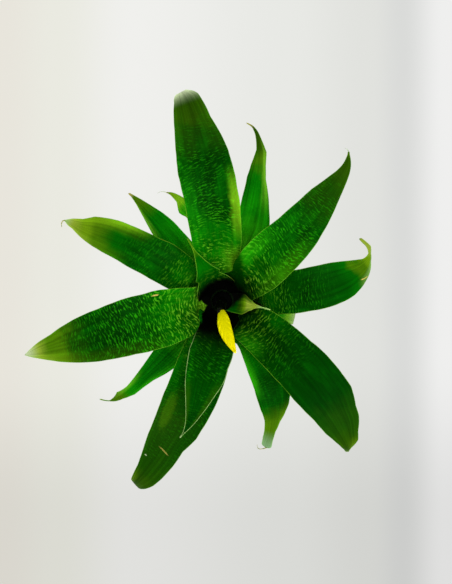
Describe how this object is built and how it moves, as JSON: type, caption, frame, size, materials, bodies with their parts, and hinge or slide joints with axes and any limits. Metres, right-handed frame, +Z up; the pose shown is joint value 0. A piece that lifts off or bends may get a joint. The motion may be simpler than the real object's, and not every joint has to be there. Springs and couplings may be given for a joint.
{
  "type": "vriesea ospinae bromeliad plant",
  "caption": "Bare-root bromeliad: arching strap leaves in a spiral round a water-holding cup, with a flat yellow flower spike. It stands on its cut stem and trimmed roots.",
  "frame": {"origin": "middle of the stem's flat cut foot, on the surface that the plant stands on", "axes": "+Z up along the stem; +Y away from a viewer who looks down on the plant with the flower spike pointing to them"},
  "size_m": [0.3084, 0.3534, 0.1809],
  "materials": {
    "young_leaf": "satin, pale yellow-green",
    "mature_leaf": "satin, dark green with a fine cross hatch",
    "old_leaf": "satin, mid green",
    "stem": "rough, fibrous brown",
    "stalk": "satin, olive green",
    "spike": "waxy, bright yellow"
  },
  "bodies": {
    "root": {"leaf_01": "young_leaf", "leaf_02": "mature_leaf", "leaf_03": "mature_leaf", "leaf_04": "mature_leaf", "leaf_05": "mature_leaf", "leaf_06": "mature_leaf", "leaf_07": "mature_leaf", "leaf_08": "mature_leaf", "leaf_09": "mature_leaf", "leaf_10": "old_leaf", "leaf_11": "old_leaf", "leaf_12": "old_leaf", "leaf_13": "old_leaf", "leaf_14": "old_leaf", "leaf_15": "old_leaf", "leaf_16": "old_leaf", "stem_with_roots": "stem", "flower_stalk": "stalk", "flower_spike": "spike"}
  },
  "joints": []
}
